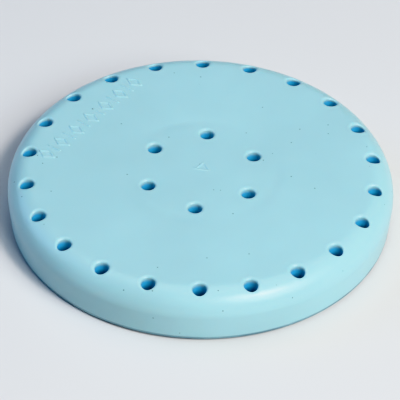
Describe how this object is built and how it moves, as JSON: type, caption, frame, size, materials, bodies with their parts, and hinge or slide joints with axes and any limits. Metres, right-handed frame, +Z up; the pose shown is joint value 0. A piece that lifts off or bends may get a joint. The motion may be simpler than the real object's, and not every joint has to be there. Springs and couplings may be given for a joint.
{
  "type": "bur block",
  "caption": "Round magnetic bur block, a low moulded puck with sockets in two rings that hold instrument shanks upright.",
  "frame": {"origin": "centre of the footprint, on the plane that the four feet stand on", "axes": "+Z up, out of the sockets' mouths; +Y away from the viewer, with the raised border at the rear left"},
  "size_m": [0.07, 0.07, 0.01],
  "materials": {
    "body": "light blue moulded polypropylene, soft gloss",
    "cover": "light blue moulded polypropylene, fine matt grain",
    "magnet": "dark brown bonded ferrite sheet, matt",
    "steel": "zinc plated cold-rolled sheet",
    "foot": "dark grey non-slip rubber, matt"
  },
  "bodies": {
    "root": {"block_body": "body", "magnet_disc": "magnet", "keeper_plate": "steel", "base_cover": "cover", "foot_front_left": "foot", "foot_front_right": "foot", "foot_rear_left": "foot", "foot_rear_right": "foot"}
  },
  "joints": []
}
